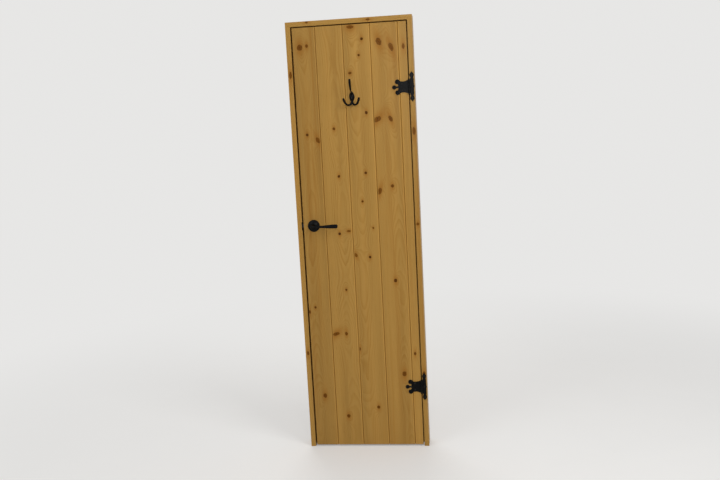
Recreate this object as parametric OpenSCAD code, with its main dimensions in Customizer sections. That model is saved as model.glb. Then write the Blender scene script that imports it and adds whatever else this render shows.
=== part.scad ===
// Internal plank door in its frame: a leaf of tongued and grooved boards on a braced backing,
// hung on black ornamental hinges, with a lever latch and a triple coat hook.
// The origin is at the foot of the hinge jamb's outer face, half way through the wall.
// +X points out of that face, -Y is the side that the leaf opens to, and +Z is up.

/* [Frame] */
// Thickness of the jambs and the head
frame_t = 20; // [17:1:40]
// Depth of the frame, through the wall
frame_d = 82; // [78:1:140]
// Depth of the head's housings for the jambs
housing_d = 7; // [4:1:12]
// Thickness of the jambs' tongues, which fit the housings
jamb_tongue_t = 10; // [6:1:13]
// Length by which the housings stop short of the front edge
housing_stop = 12; // [6:1:30]
// Thickness of the planted stops
stop_t = 15; // [12:1:20]
// Width of the planted stops, through the wall
stop_w = 20; // [12:1:25]
// Radius of the holes for the frame's fixing screws
fixing_r = 2.75; // [2:0.25:4]
// Radius of the fixing holes' countersinks
fixing_head_r = 5.5; // [4.5:0.25:7]
// Fixing holes in each jamb
fixing_count = 4; // [2:1:8]
// Distance from a jamb's ends to its first and last fixing holes
fixing_end = 162.5; // [82.5:5:302.5]

/* [Leaf] */
// Width of the leaf
leaf_w = 474; // [450:1:520]
// Height of the leaf
leaf_h = 1812; // [1600:1:2100]
// Gap between the leaf and the hinge jamb
hinge_gap = 5; // [4:0.5:7]
// Gap between the leaf and the latch jamb
latch_gap = 7; // [6.5:0.5:9]
// Gap between the leaf and the head
head_gap = 5; // [5:0.5:8]
// Gap under the leaf
floor_gap = 8; // [5:1:20]
// Gap between the closed leaf and the stops
stop_gap = 5; // [2:0.5:6]

/* [Boards] */
// Thickness of the face boards
board_t = 15; // [13:1:22]
// Face width of a full board
board_w = 114; // [108:1:125]
// Share of the left-over width that the ripped board at the latch edge takes
latch_board_share = 0.727; // [0.7:0.001:0.76]
// Depth of the bevel along each jointed edge
bevel = 3.2; // [1:0.1:4]
// Thickness of a board's tongue
tongue_t = 4.5; // [3:0.1:5]
// Length of a board's tongue
tongue_l = 5.5; // [4:0.1:7]
// Play at each cheek of a tongue
tongue_play = 0.2; // [0.1:0.05:0.4]
// Play at the end of a tongue
tongue_end_play = 1; // [0.5:0.1:1.5]

/* [Backing] */
// Thickness of the stiles, rails and braces
backing_t = 25; // [22:1:35]
// Width of the stiles
stile_w = 70; // [68:1:95]
// Width of the top rail
top_rail_w = 95; // [70:1:150]
// Width of the middle rail
middle_rail_w = 120; // [90:1:150]
// Width of the bottom rail
bottom_rail_w = 120; // [90:1:180]
// Height of the middle rail's centre line above the leaf's foot
middle_rail_rise = 852; // [700:1:880]
// Width of the braces
brace_w = 70; // [50:1:95]
// Thickness of the rails' tenons
tenon_t = 9; // [7:0.5:11]
// Length of the rails' tenons
tenon_l = 30; // [20:1:45]
// Shoulder above and below each tenon
tenon_shoulder = 14; // [8:1:20]
// Play at the end of a tenon
tenon_end_play = 1; // [0.5:0.25:3]

/* [Hinges] */
// Distance from the leaf's top or foot to the middle of a hinge
hinge_inset = 264; // [150:1:320]
// Thickness of the hinge plates
hinge_plate_t = 2.5; // [2:0.1:4]
// Radius of the knuckles
knuckle_r = 4.5; // [4:0.1:6]
// Height of the three knuckles together
knuckles_h = 54; // [45:1:70]
// Radius of the hinge pin
hinge_pin_r = 2; // [1.5:0.1:2.5]
// Length of the leaf's plate, from the pin to the tip of its middle ball
door_plate_l = 70; // [60:1:90]
// Radius of the three balls of the leaf's plate
petal_r = 10; // [8:0.5:11]
// Height of the outer balls above and below the plate's middle
petal_rise = 21.5; // [20:0.5:26]
// Radius of the round ends of the frame's plate
finial_r = 9; // [7:0.5:9.5]
// Height of the round ends above and below the plate's middle
finial_rise = 47; // [42:0.5:60]
// Width of the frame's plate
frame_plate_w = 15; // [12:0.5:17]
// Radius of the hinges' screw holes
hinge_screw_r = 2; // [1.5:0.1:2.5]

/* [Latch] */
// Height of the spindle above the leaf's foot
handle_rise = 985; // [960:1:1100]
// Distance from the leaf's edge to the spindle
backset = 44; // [40:1:46]
// Side of the square spindle
spindle_s = 7.6; // [7:0.1:8]
// Radius of the tubular latch case
case_r = 11; // [10.5:0.1:12]
// Length of the latch case
case_l = 65; // [60:1:66]
// Thickness of the latch bolt
bolt_t = 11; // [9:0.5:12]
// Height of the latch bolt
bolt_h = 15; // [12:0.5:15.5]
// Throw of the latch bolt
bolt_throw = 12; // [10:0.5:13]
// Length of the bolt inside the case
bolt_tail = 22; // [15:0.5:23]
// Width of the plate on the leaf's edge
forend_w = 25; // [24:0.5:28]
// Height of the plate on the leaf's edge
forend_h = 57; // [54:1:70]
// Thickness of the plate on the leaf's edge
forend_t = 2.5; // [1.5:0.1:3.5]
// Thickness of the strike plate
strike_t = 2; // [1.5:0.1:3]
// Height of the strike plate
strike_h = 57; // [54:1:70]
// Height of the strike plate's lip, which reaches the frame's front edge
strike_lip_h = 36; // [28:1:44]
// Radius of the screw holes in both plates
latch_screw_r = 2; // [1.5:0.1:2.5]

/* [Handles] */
// Radius of the roses
rose_r = 26; // [22:0.5:27]
// Thickness of the roses at the middle
rose_t = 8; // [6:0.5:11]
// Thickness of the roses at the rim
rose_rim = 3; // [2:0.1:4]
// Radius of the bead round the roses' rims
rose_bead_r = 1.5; // [0.8:0.1:1.9]
// Length of a lever, from the spindle to its tip
lever_l = 110; // [95:1:130]
// Distance from the leaf's face to the outside of a lever
lever_out = 48; // [44:1:60]
// Height of a lever at its neck
lever_neck_h = 8; // [7:0.5:11]
// Height of a lever at its tip
lever_tip_h = 16; // [13:0.5:20]
// Thickness of a lever's grip
lever_t = 9; // [7:0.5:12]
// Radius of a lever's hub
hub_r = 8; // [7.5:0.1:9]

/* [Coat hook] */
// Distance from the leaf's top to the hook's middle
hook_drop = 292; // [150:1:600]
// Width of the almond-shaped back plate
hook_plate_w = 23; // [20:0.5:30]
// Height of the back plate
hook_plate_h = 46; // [42:1:60]
// Thickness of the back plate at its rim
hook_plate_t = 2.5; // [2:0.5:5]
// Thickness of the back plate at its domed middle
hook_boss_t = 8; // [6:0.5:10]
// Reach of the long upper prong from the leaf's face
upper_prong_out = 60; // [56:1:80]
// Rise of the upper prong's tip above the hook's middle
upper_prong_rise = 71; // [62:1:80]
// Radius of the upper prong's neck
upper_neck_r = 2.3; // [1.8:0.1:3]
// Radius of the upper prong's tip
upper_tip_r = 4.5; // [3.5:0.1:5.5]
// Reach of the two lower prongs from the leaf's face
lower_prong_out = 32; // [28:1:45]
// Spread of each lower prong's tip from the hook's middle
lower_prong_spread = 32; // [30:1:42]
// Depth of the lower prongs' bend under the hook's middle
lower_prong_drop = 34; // [32:1:42]
// Radius of the lower prongs' necks
lower_neck_r = 3.1; // [2.5:0.1:3.6]
// Radius of the lower prongs' tips
lower_tip_r = 4.1; // [3.5:0.1:5]

/* [Hidden] */
$fn = 64;

// Extra length of a cutting solid past the faces that it cuts
cut = 1;

// Places across the door
leaf_right = -(frame_t + hinge_gap);
leaf_left = leaf_right - leaf_w;
leaf_middle = (leaf_left + leaf_right) / 2;
latch_face = leaf_left - latch_gap;
frame_left = latch_face - frame_t;

// Places through the wall
front = -frame_d / 2;
board_back = front + board_t;
leaf_back = board_back + backing_t;
leaf_depth = (front + leaf_back) / 2;
stop_front = leaf_back + stop_gap;
stop_back = stop_front + stop_w;
fixing_depth = (stop_back + frame_d / 2) / 2;

// Heights
leaf_foot = floor_gap;
leaf_top = leaf_foot + leaf_h;
head_under = leaf_top + head_gap;
frame_top = head_under + frame_t;
handle_z = leaf_foot + handle_rise;
hook_z = leaf_top - hook_drop;
upper_hinge_z = leaf_top - hinge_inset;
lower_hinge_z = leaf_foot + hinge_inset;
middle_rail_foot = leaf_foot + middle_rail_rise - middle_rail_w / 2;
middle_rail_top = middle_rail_foot + middle_rail_w;
top_rail_foot = leaf_top - top_rail_w;
bottom_rail_top = leaf_foot + bottom_rail_w;

// Boards: two ripped ones share what the full ones leave
full_boards = 3;
ripped_w = leaf_w - full_boards * board_w;
latch_board_w = latch_board_share * ripped_w;
board_widths = [latch_board_w, board_w, board_w, board_w, ripped_w - latch_board_w];
last_board = len(board_widths) - 1;
tongue_middle = 0.57 * board_t;

// Hinges: the pin stands in front of the gap, clear of both faces
knuckle_clear = 0.2;
knuckle_gap = 0.3;
pin_play = 0.03;
pin_x = leaf_right + hinge_gap / 2;
pin_y = front - knuckle_clear - knuckle_r;
knuckle_h = knuckles_h / 3;
pin_ball_r = 3.4;
plate_waist_r = 40;
petal_neck_h = 7;
plate_notch_r = 5;
petal_notch_inset = 3;
plate_overlap = 3;
finial_notch_drop = 2;
knuckle_web = 1;
frame_plate_x = hinge_gap / 2 + finial_r + 0.5;
door_plate_screws = [
    [-0.42 * door_plate_l, 14],
    [-0.42 * door_plate_l, -14],
    [-0.66 * door_plate_l, 0]
];
frame_plate_screws = [
    [frame_plate_x, finial_rise],
    [frame_plate_x, 0],
    [frame_plate_x, -finial_rise]
];

// Latch
wood_play = 0.2;
bolt_play = 0.3;
follower_r = 6.5;
spindle_hole_r = 8;
strike_depth = 14;
strike_edge = 10;
strike_mortise_play = 2;
strike_hole_play = 1;
pocket_end_play = 1.5;
latch_screw_inset = 6;

// Handles: the hub turns in the rose, with a collar in front of it
hub_play = 0.05;
hub_start = 3;
rose_quirk = 0.8;
collar_gap = 0.3;
collar_r = hub_r + 2;
collar_t = 3;
collar_slope = 3;
socket_play = 0.05;
spindle_seat = 12;
lever_crown = 2;
lever_dip = 1;
lever_swell = (lever_tip_h - lever_neck_h) / 2;

// Half height and half thickness of a lever's arm, evenly spaced from the hub to the tip
lever_sizes = [
    [0.7 * hub_r, 0.7 * hub_r],
    [lever_neck_h / 2, lever_t / 2],
    [lever_neck_h / 2 + 0.15 * lever_swell, lever_t / 2],
    [lever_neck_h / 2 + 0.45 * lever_swell, 0.96 * lever_t / 2],
    [lever_neck_h / 2 + 0.8 * lever_swell, 0.92 * lever_t / 2],
    [lever_tip_h / 2, 0.88 * lever_t / 2]
];

// Coat hook
hook_screw_r = 1.8;
hook_screws = [19, -5];
prong_root = 2;
upper_prong_start = 8;
upper_prong_crook = 22;
lower_prong_start = 19;
lower_prong_end = 9;
prong_sides = 10;
prong_rings = 10;
lever_sides = 16;
lever_rings = 14;
tip_rings = 3;

// A box between two corners
module box(low, high) {
    translate(low) cube(high - low);
}

// A cylinder along X that starts at the left end
module rod_x(r, l) {
    rotate([0, 90, 0]) cylinder(r = r, h = l);
}

// A cylinder along Y that starts at the front end
module rod_y(r, l) {
    rotate([-90, 0, 0]) cylinder(r = r, h = l);
}

// A flat outline in X and Z, thickened along Y from its front face
module plate_y(t) {
    rotate([90, 0, 0]) translate([0, 0, -t]) linear_extrude(height = t) children();
}

// Height of one fixing hole above the frame's foot
function fixing_z(i) = fixing_end + i * (head_under - 2 * fixing_end) / (fixing_count - 1);

// A fixing hole with its countersink in the reveal; side is 1 where the hole leads to +X
module fixing_hole(side) {
    translate([-side * cut, 0, 0]) rotate([0, side * 90, 0]) {
        cylinder(r = fixing_r, h = frame_t + 2 * cut);
        cylinder(r1 = fixing_head_r + cut, r2 = 0, h = fixing_head_r + cut);
    }
}

// A jamb between two X places, with its tongue on the outer half and its fixing holes
module jamb(x0, x1, side) {
    tongue_x0 = (x0 + x1 - jamb_tongue_t) / 2;
    difference() {
        union() {
            box([x0, front, 0], [x1, frame_d / 2, head_under]);
            box([tongue_x0, front + housing_stop + wood_play, head_under - cut],
                [tongue_x0 + jamb_tongue_t, frame_d / 2, head_under + housing_d - wood_play]);
        }
        for (i = [0 : fixing_count - 1])
            translate([side > 0 ? x0 : x1, fixing_depth, fixing_z(i)]) fixing_hole(side);
    }
}

module hinge_jamb() {
    color("burlywood") jamb(-frame_t, 0, 1);
}

// The latch jamb also holds the strike plate and the bolt's mortise
module latch_jamb() {
    color("burlywood") difference() {
        jamb(frame_left, latch_face, -1);
        strike_outline_solid(strike_t + cut, wood_play);
        mortise_y = bolt_t / 2 + strike_mortise_play;
        mortise_z = bolt_h / 2 + strike_mortise_play;
        box([latch_face - strike_depth, leaf_depth - mortise_y, handle_z - mortise_z],
            [latch_face + cut, leaf_depth + mortise_y, handle_z + mortise_z]);
    }
}

// The head lies on both jambs, with a stopped housing for each tongue
module frame_head() {
    color("burlywood") difference() {
        box([frame_left, front, head_under], [0, frame_d / 2, frame_top]);
        for (x = [frame_left, -frame_t]) {
            housing_x0 = x + (frame_t - jamb_tongue_t) / 2 - wood_play;
            housing_x1 = x + (frame_t + jamb_tongue_t) / 2 + wood_play;
            box([housing_x0, front + housing_stop, head_under - cut],
                [housing_x1, frame_d / 2 + cut, head_under + housing_d]);
        }
    }
}

module hinge_stop() {
    color("burlywood")
        box([-frame_t - stop_t, stop_front, 0], [-frame_t, stop_back, head_under - stop_t]);
}

module latch_stop() {
    color("burlywood")
        box([latch_face, stop_front, 0], [latch_face + stop_t, stop_back, head_under - stop_t]);
}

module head_stop() {
    color("burlywood")
        box([latch_face, stop_front, head_under - stop_t], [-frame_t, stop_back, head_under]);
}

// Left side of board i, counted from the latch edge
function board_left(i) = i == 0 ? leaf_left : board_left(i - 1) + board_widths[i - 1];

// Cross-section of a board with its face on Y = 0, grooved on the left and tongued on the right
module board_section(w, grooved, tongued) {
    groove_t = tongue_t + 2 * tongue_play;
    groove_l = tongue_l + tongue_end_play;
    difference() {
        union() {
            square([w, board_t]);
            if (tongued)
                translate([w - cut, tongue_middle - tongue_t / 2]) square([tongue_l + cut, tongue_t]);
        }
        if (grooved) {
            translate([-cut, tongue_middle - groove_t / 2]) square([groove_l + cut, groove_t]);
            polygon([[-cut, -cut], [bevel + cut, -cut], [-cut, bevel + cut]]);
        }
        if (tongued)
            polygon([[w + cut, -cut], [w - bevel - cut, -cut], [w + cut, bevel + cut]]);
    }
}

// Everything that the latch needs cut from the leaf's wood
module latch_cuts() {
    forend_y = forend_w / 2 + wood_play;
    forend_z = forend_h / 2 + wood_play;
    translate([leaf_left - cut, leaf_depth, handle_z]) rod_x(case_r + wood_play, case_l + cut);
    translate([leaf_left + backset, front - cut, handle_z])
        rod_y(spindle_hole_r, leaf_back - front + 2 * cut);
    box([leaf_left - cut, leaf_depth - forend_y, handle_z - forend_z],
        [leaf_left + forend_t, leaf_depth + forend_y, handle_z + forend_z]);
}

module board(i) {
    color("goldenrod") difference() {
        translate([board_left(i), front, leaf_foot]) linear_extrude(height = leaf_h)
            board_section(board_widths[i], i > 0, i < last_board);
        if (i == 0) latch_cuts();
    }
}

// A stub mortise for a rail between two heights, in the stile whose inner edge is at x
module mortise(x, z0, z1, side) {
    far = x + side * (tenon_l + tenon_end_play);
    near = x - side * cut;
    tenon_y = (board_back + leaf_back) / 2;
    box([min(near, far), tenon_y - tenon_t / 2, z0 + tenon_shoulder - wood_play],
        [max(near, far), tenon_y + tenon_t / 2, z1 - tenon_shoulder + wood_play]);
}

module stile(x0, side) {
    inner = side > 0 ? x0 : x0 + stile_w;
    difference() {
        box([x0, board_back, leaf_foot], [x0 + stile_w, leaf_back, leaf_top]);
        mortise(inner, leaf_foot, bottom_rail_top, side);
        mortise(inner, middle_rail_foot, middle_rail_top, side);
        mortise(inner, top_rail_foot, leaf_top, side);
    }
}

module latch_stile() {
    color("tan") difference() {
        stile(leaf_left, -1);
        latch_cuts();
    }
}

module hinge_stile() {
    color("tan") stile(leaf_right - stile_w, 1);
}

// A rail between the stiles, with a stub tenon at each end
module rail(z0, z1) {
    tenon_y = (board_back + leaf_back) / 2;
    color("tan") {
        box([leaf_left + stile_w, board_back, z0], [leaf_right - stile_w, leaf_back, z1]);
        box([leaf_left + stile_w - tenon_l, tenon_y - tenon_t / 2, z0 + tenon_shoulder],
            [leaf_right - stile_w + tenon_l, tenon_y + tenon_t / 2, z1 - tenon_shoulder]);
    }
}

module top_rail() {
    rail(top_rail_foot, leaf_top);
}

module middle_rail() {
    rail(middle_rail_foot, middle_rail_top);
}

module bottom_rail() {
    rail(leaf_foot, bottom_rail_top);
}

// A brace that rises from the hinge side to the latch side, cut to fit the bay's corners
module brace(z0, z1) {
    bay_w = leaf_w - 2 * stile_w;
    lean = atan2(z1 - z0, bay_w);
    color("tan") translate([leaf_right - stile_w, board_back, z0]) plate_y(backing_t) intersection() {
        translate([-bay_w, 0]) square([bay_w, z1 - z0]);
        rotate(180 - lean) translate([-brace_w, -brace_w / 2])
            square([norm([bay_w, z1 - z0]) + 2 * brace_w, brace_w]);
    }
}

module upper_brace() {
    brace(middle_rail_top, top_rail_foot);
}

module lower_brace() {
    brace(bottom_rail_top, middle_rail_foot);
}

// Outline of the leaf's hinge plate: a waisted body, two curled petals and a middle ball
module door_plate_outline() {
    petal_x = -0.68 * door_plate_l;
    ball_r = 0.85 * petal_r;
    waist_x = -0.36 * door_plate_l;
    waist_h = 0.41 * knuckles_h;
    difference() {
        union() {
            difference() {
                translate([petal_x + plate_overlap, -knuckles_h / 2])
                    square([-petal_x - 2 * plate_overlap, knuckles_h]);
                for (s = [-1, 1])
                    translate([waist_x, s * (waist_h + plate_waist_r)]) circle(r = plate_waist_r);
            }
            for (s = [-1, 1])
                translate([petal_x, s * petal_rise]) circle(r = petal_r);
            translate([-door_plate_l + ball_r, 0]) circle(r = ball_r);
            translate([-door_plate_l + ball_r, -petal_neck_h / 2])
                square([door_plate_l - ball_r - plate_overlap, petal_neck_h]);
        }
        for (s = [-1, 1])
            translate([petal_x - petal_notch_inset, s * (petal_neck_h / 2 + plate_notch_r)])
                circle(r = plate_notch_r);
        for (p = door_plate_screws) translate(p) circle(r = hinge_screw_r);
    }
}

// Outline of the frame's hinge plate: a strap with a pointed round end above and below
module frame_plate_outline() {
    difference() {
        union() {
            translate([frame_plate_x - frame_plate_w / 2, -finial_rise])
                square([frame_plate_w, 2 * finial_rise]);
            for (s = [-1, 1]) translate([frame_plate_x, s * finial_rise]) {
                circle(r = finial_r);
                scale([1, s]) polygon([[-0.8 * finial_r, 0.6 * finial_r], [0, 1.6 * finial_r],
                    [0.8 * finial_r, 0.6 * finial_r]]);
            }
            translate([frame_plate_x + 2, 0]) circle(r = 0.9 * finial_r);
            translate([1, -knuckles_h / 2]) square([frame_plate_x, knuckles_h]);
        }
        notch_x = frame_plate_w / 2 + plate_overlap;
        notch_z = finial_rise - finial_r - finial_notch_drop;
        for (side = [-1, 1], s = [-1, 1])
            translate([frame_plate_x + side * notch_x, s * notch_z]) circle(r = plate_notch_r);
        for (p = frame_plate_screws) translate(p) circle(r = hinge_screw_r);
    }
}

// One knuckle, joined to its plate by a web; side is 1 where the plate lies to +X
module knuckle(z0, z1, side) {
    difference() {
        union() {
            translate([0, 0, z0]) cylinder(r = knuckle_r, h = z1 - z0);
            web = knuckle_r + knuckle_clear;
            reach = side * (knuckle_r + knuckle_web);
            box([min(0, reach), web - hinge_plate_t, z0], [max(0, reach), web, z1]);
        }
        translate([0, 0, z0 - cut]) cylinder(r = hinge_pin_r + pin_play, h = z1 - z0 + 2 * cut);
    }
}

// Space that the other plate's knuckle sweeps between two heights
module knuckle_space(z0, z1) {
    translate([0, 0, z0]) cylinder(r = knuckle_r + 2 * knuckle_gap, h = z1 - z0);
}

module hinge_door_plate(z) {
    color("dimgray") translate([pin_x, pin_y, z]) {
        difference() {
            translate([0, knuckle_r + knuckle_clear - hinge_plate_t, 0])
                plate_y(hinge_plate_t) door_plate_outline();
            knuckle_space(-knuckles_h, knuckles_h);
        }
        knuckle(-knuckle_h / 2, knuckle_h / 2, -1);
    }
}

module hinge_frame_plate(z) {
    color("dimgray") translate([pin_x, pin_y, z]) {
        difference() {
            translate([0, knuckle_r + knuckle_clear - hinge_plate_t, 0])
                plate_y(hinge_plate_t) frame_plate_outline();
            knuckle_space(-knuckles_h, knuckles_h);
        }
        knuckle(knuckle_h / 2 + knuckle_gap, knuckles_h / 2, 1);
        knuckle(-knuckles_h / 2, -knuckle_h / 2 - knuckle_gap, 1);
    }
}

// The pin has a ball at each end, which keeps it in the knuckles
module hinge_pin(z) {
    color("dimgray") translate([pin_x, pin_y, z]) {
        translate([0, 0, -knuckles_h / 2]) cylinder(r = hinge_pin_r, h = knuckles_h);
        for (s = [-1, 1])
            translate([0, 0, s * (knuckles_h / 2 + 0.8 * pin_ball_r)]) sphere(r = pin_ball_r);
    }
}

module upper_hinge_frame_plate() {
    hinge_frame_plate(upper_hinge_z);
}

module lower_hinge_frame_plate() {
    hinge_frame_plate(lower_hinge_z);
}

module upper_hinge_door_plate() {
    hinge_door_plate(upper_hinge_z);
}

module lower_hinge_door_plate() {
    hinge_door_plate(lower_hinge_z);
}

module upper_hinge_pin() {
    hinge_pin(upper_hinge_z);
}

module lower_hinge_pin() {
    hinge_pin(lower_hinge_z);
}

// The strike plate's body and lip, grown by a play all round
module strike_outline_solid(t, play) {
    x0 = latch_face - strike_t;
    body_z = strike_h / 2 + play;
    lip_z = strike_lip_h / 2 + play;
    body_back = leaf_depth + bolt_t / 2 + strike_edge;
    box([x0, front + strike_edge - play, handle_z - body_z], [x0 + t, body_back + play, handle_z + body_z]);
    box([x0, front - cut * sign(play), handle_z - lip_z], [x0 + t, leaf_depth, handle_z + lip_z]);
}

module strike_plate() {
    hole_x0 = latch_face - strike_t - cut;
    hole_z = bolt_h / 2 + strike_hole_play;
    screw_z = strike_h / 2 - latch_screw_inset;
    color("dimgray") difference() {
        strike_outline_solid(strike_t, 0);
        box([hole_x0, leaf_depth - bolt_t / 2 - bolt_play, handle_z - hole_z],
            [latch_face + cut, leaf_depth + bolt_t / 2 + strike_mortise_play, handle_z + hole_z]);
        for (s = [-1, 1])
            translate([hole_x0, leaf_depth, handle_z + s * screw_z]) rod_x(latch_screw_r, strike_t + 2 * cut);
    }
}

module latch_forend() {
    color("dimgray") difference() {
        box([leaf_left, leaf_depth - forend_w / 2, handle_z - forend_h / 2],
            [leaf_left + forend_t, leaf_depth + forend_w / 2, handle_z + forend_h / 2]);
        bolt_pocket();
        for (s = [-1, 1])
            translate([leaf_left - cut, leaf_depth, handle_z + s * (forend_h / 2 - latch_screw_inset)])
                rod_x(latch_screw_r, forend_t + 2 * cut);
    }
}

// Space in which the bolt slides, from the leaf's edge to the end of its travel
module bolt_pocket() {
    pocket_y = bolt_t / 2 + bolt_play;
    pocket_z = bolt_h / 2 + bolt_play;
    pocket_end = leaf_left + bolt_tail + bolt_throw + pocket_end_play;
    box([leaf_left - cut, leaf_depth - pocket_y, handle_z - pocket_z],
        [pocket_end, leaf_depth + pocket_y, handle_z + pocket_z]);
}

module latch_case() {
    color("silver") difference() {
        translate([leaf_left + forend_t, leaf_depth, handle_z]) rod_x(case_r, case_l - forend_t);
        bolt_pocket();
        translate([leaf_left + backset, leaf_depth - case_r - cut, handle_z])
            rod_y(follower_r, 2 * (case_r + cut));
    }
}

// The bolt, with a curved bevel on the side that meets the strike first
module latch_bolt() {
    nose = bolt_throw + 2;
    color("silver") translate([leaf_left, leaf_depth, handle_z - bolt_h / 2])
        linear_extrude(height = bolt_h) intersection() {
            translate([-bolt_throw, -bolt_t / 2]) square([bolt_throw + bolt_tail, bolt_t]);
            translate([nose - bolt_throw, -bolt_t / 2]) union() {
                scale([nose / bolt_t, 1]) circle(r = bolt_t);
                square([bolt_tail, bolt_t]);
            }
        }
}

// A turned rose with its flat back on Y = 0, facing -Y: a bead round the rim, a quirk and a low dome
module rose() {
    dome_edge = rose_r - 1.75 * rose_bead_r;
    dome_rise = rose_t - rose_rim + rose_quirk;
    dome_r = (pow(dome_edge, 2) + pow(dome_rise, 2)) / (2 * dome_rise);
    rotate([90, 0, 0]) rotate_extrude($fn = 96) difference() {
        union() {
            square([rose_r, rose_rim - rose_bead_r]);
            translate([rose_r - rose_bead_r, rose_rim - rose_bead_r]) circle(r = rose_bead_r);
            intersection() {
                translate([0, rose_t - dome_r]) circle(r = dome_r, $fn = 360);
                square([dome_edge, rose_t]);
            }
        }
        square([hub_r + hub_play, rose_t + cut]);
    }
}

module front_rose() {
    color("dimgray") translate([leaf_left + backset, front, handle_z]) rose();
}

module back_rose() {
    color("dimgray") translate([leaf_left + backset, leaf_back, handle_z]) mirror([0, 1, 0]) rose();
}

// A lever with its rose's back on Y = 0: hub, collar, arm and the square socket for the spindle
module lever() {
    hub_end = lever_out - hub_r;
    collar = rose_t + collar_gap;
    tip_r = lever_tip_h / 2;
    way = [
        [0, -hub_end, 0],
        [0.31 * lever_l, -lever_out + lever_crown, 0],
        [0.6 * lever_l, -hub_end - lever_dip, 0],
        [lever_l - tip_r, -lever_out + lever_t / 2, 0]
    ];
    difference() {
        union() {
            translate([0, -hub_end, 0]) rod_y(hub_r, hub_end - hub_start);
            translate([0, -hub_end, 0]) sphere(r = hub_r);
            translate([0, -collar - collar_t, 0]) rod_y(collar_r, collar_t);
            translate([0, -collar - collar_t, 0]) rotate([90, 0, 0])
                cylinder(r1 = collar_r, r2 = hub_r, h = collar_slope);
            swept_rod(way, lever_sizes, [0, 0, 1], lever_sides, lever_rings);
        }
        box([-spindle_s / 2 - socket_play, -lever_out + spindle_seat, -spindle_s / 2 - socket_play],
            [spindle_s / 2 + socket_play, cut, spindle_s / 2 + socket_play]);
    }
}

module front_lever() {
    color("dimgray") translate([leaf_left + backset, front, handle_z]) lever();
}

module back_lever() {
    color("dimgray") translate([leaf_left + backset, leaf_back, handle_z]) mirror([0, 1, 0]) lever();
}

// The square bar that joins the levers through the latch
module spindle() {
    seat = lever_out - spindle_seat - hub_play;
    color("silver")
        box([leaf_left + backset - spindle_s / 2, front - seat, handle_z - spindle_s / 2],
            [leaf_left + backset + spindle_s / 2, leaf_back + seat, handle_z + spindle_s / 2]);
}

// A point on a cubic curve with four control points
function curve(p, t) =
    let (u = 1 - t) u * u * u * p[0] + 3 * u * u * t * p[1] + 3 * u * t * t * p[2] + t * t * t * p[3];

// The direction of that curve
function curve_way(p, t) =
    let (u = 1 - t) unit(u * u * (p[1] - p[0]) + 2 * u * t * (p[2] - p[1]) + t * t * (p[3] - p[2]));

function unit(v) = v / norm(v);

// The size at place t of a list of sizes that are evenly spaced from 0 to 1
function size_at(sizes, t) =
    let (n = len(sizes) - 1, i = min(floor(t * n), n - 1))
        sizes[i] + (t * n - i) * (sizes[i + 1] - sizes[i]);

// A rod with a round tip along a flat curve. The curve's plane has the given normal, and sizes
// lists the rod's half width along that normal and its half depth across it, from root to tip.
module swept_rod(way, sizes, normal, sides, rings) {
    end_size = sizes[len(sizes) - 1];
    end_way = curve_way(way, 1);
    body = [for (i = [0 : rings]) let (t = i / rings)
        [curve(way, t), curve_way(way, t), size_at(sizes, t)]];
    tip = [for (i = [1 : tip_rings]) let (a = 90 * i / (tip_rings + 0.4))
        [way[3] + end_way * end_size[0] * sin(a), end_way, end_size * cos(a)]];
    loops = concat(body, tip);
    points = [for (loop = loops) let (across = cross(loop[1], normal))
        for (k = [0 : sides - 1]) let (a = 360 * k / sides)
            loop[0] + loop[2][0] * cos(a) * normal + loop[2][1] * sin(a) * across];
    last = (len(loops) - 1) * sides;
    root_cap = [for (k = [0 : sides - 1]) k];
    tip_cap = [for (k = [sides - 1 : -1 : 0]) last + k];
    walls = [for (i = [0 : len(loops) - 2], k = [0 : sides - 1])
        let (a = i * sides + k, b = i * sides + (k + 1) % sides)
            each [[a, a + sides, b], [b, a + sides, b + sides]]];
    polyhedron(points = points, faces = concat([root_cap, tip_cap], walls));
}

// A pointed round solid along Z, like a lemon
module lemon(r, half_l) {
    arc_r = (pow(half_l, 2) + pow(r, 2)) / (2 * r);
    rotate_extrude($fn = 48) intersection() {
        translate([r - arc_r, 0]) circle(r = arc_r, $fn = 180);
        translate([0, -half_l]) square([r, 2 * half_l]);
    }
}

// The almond: two arcs that meet in a point above and below
module almond(w, h) {
    r = (pow(h / 2, 2) + pow(w / 2, 2)) / w;
    intersection() {
        translate([r - w / 2, 0]) circle(r = r, $fn = 180);
        translate([w / 2 - r, 0]) circle(r = r, $fn = 180);
    }
}

// The long prong leaves the plate in a shallow bend and then rises
module upper_prong() {
    out = upper_prong_out - upper_tip_r;
    rise = upper_prong_rise - upper_tip_r;
    way = [
        [0, -prong_root, upper_prong_start],
        [0, -0.3 * out, upper_prong_crook],
        [0, -0.8 * out, upper_prong_crook],
        [0, -out, rise]
    ];
    neck = [upper_neck_r, upper_neck_r];
    tip = [upper_tip_r, upper_tip_r];
    swept_rod(way, [2.2 * neck, 1.2 * neck, neck, 0.7 * tip, 0.95 * tip, tip], [1, 0, 0], prong_sides,
        prong_rings);
}

// A lower prong curls down, out and up; side is 1 where it leads to +X
module lower_prong(side) {
    out = lower_prong_out - lower_tip_r;
    reach = norm([lower_prong_spread, out]);
    aside = [side * lower_prong_spread, -out, 0] / reach;
    low = [0, 0, -1.19 * lower_prong_drop];
    way = [
        [0, -prong_root, -lower_prong_start],
        0.12 * reach * aside + low,
        0.8 * reach * aside + low,
        reach * aside + [0, 0, -lower_prong_end]
    ];
    neck = [lower_neck_r, lower_neck_r];
    tip = [lower_tip_r, lower_tip_r];
    swept_rod(way, [1.4 * neck, 1.1 * neck, neck, neck, 0.9 * tip, tip], cross(aside, [0, 0, 1]),
        prong_sides, prong_rings);
}

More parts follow.
